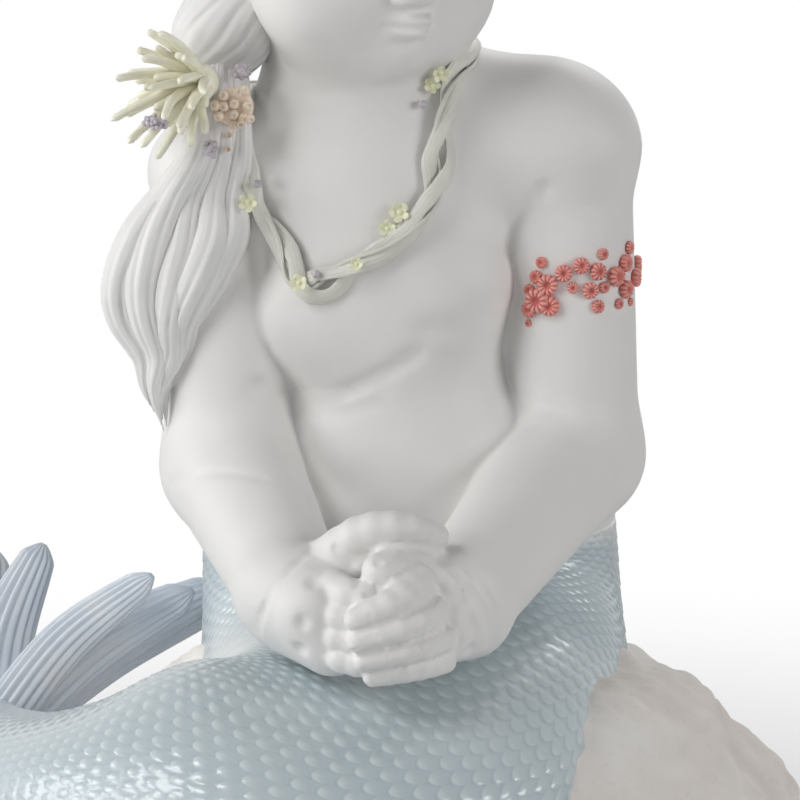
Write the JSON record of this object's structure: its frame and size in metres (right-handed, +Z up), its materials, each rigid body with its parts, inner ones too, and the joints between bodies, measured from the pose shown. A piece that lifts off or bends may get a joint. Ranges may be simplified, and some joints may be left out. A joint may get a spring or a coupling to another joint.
{
  "type": "mermaid figurine",
  "caption": "Bisque porcelain mermaid child seated on a rock, hands clasped on a blue scaled tail, with a weed garland, coral arm band and hair ornament.",
  "frame": {"origin": "centre of the flat underside of the rock, at the surface it stands on", "axes": "+Z up, -Y towards the viewer in front of the figure, +X to the figure's left hand"},
  "size_m": [0.2364, 0.1841, 0.3015],
  "materials": {
    "white_bisque": "matte unglazed bisque",
    "blue_glaze": "glossy glaze, mother-of-pearl sheen",
    "fin_blue": "satin",
    "rock_clay": "matte, chalky",
    "weed_green": "satin",
    "flower_yellow": "satin",
    "coral_pink": "satin",
    "anemone_cream": "satin",
    "peach": "satin",
    "lilac": "satin"
  },
  "bodies": {
    "root": {"anemone": "anemone_cream", "arm_coral_01": "coral_pink", "arm_coral_02": "coral_pink", "arm_coral_03": "coral_pink", "arm_coral_04": "coral_pink", "arm_coral_05": "coral_pink", "arm_coral_06": "coral_pink", "arm_coral_07": "coral_pink", "arm_coral_08": "coral_pink", "arm_coral_09": "coral_pink", "arm_coral_10": "coral_pink", "arm_coral_11": "coral_pink", "arm_coral_12": "coral_pink", "arm_coral_13": "coral_pink", "arm_coral_14": "coral_pink", "arm_coral_15": "coral_pink", "arm_coral_16": "coral_pink", "arm_coral_17": "coral_pink", "arm_coral_18": "coral_pink", "arm_coral_19": "coral_pink", "arm_coral_20": "coral_pink", "arm_coral_21": "coral_pink", "arm_coral_22": "coral_pink", "arm_coral_23": "coral_pink", "arm_coral_24": "coral_pink", "arm_coral_25": "coral_pink", "arm_coral_26": "coral_pink", "arm_coral_27": "coral_pink", "figure": "white_bisque", "flower_1": "flower_yellow", "flower_2": "flower_yellow", "flower_3": "flower_yellow", "flower_4": "flower_yellow", "flower_5": "flower_yellow", "flower_6": "flower_yellow", "flower_7": "flower_yellow", "garland_bud_1": "lilac", "garland_bud_2": "lilac", "garland_bud_3": "lilac", "hair": "white_bisque", "lilac_sprig_1": "lilac", "lilac_sprig_2": "lilac", "lilac_sprig_3": "lilac", "polyp_bunch": "peach", "ring_bead_1": "peach", "ring_bead_2": "peach", "ring_bead_3": "peach", "rock_base": "rock_clay", "tail": "blue_glaze", "tail_fin": "fin_blue", "weed_garland": "weed_green"}
  },
  "joints": []
}
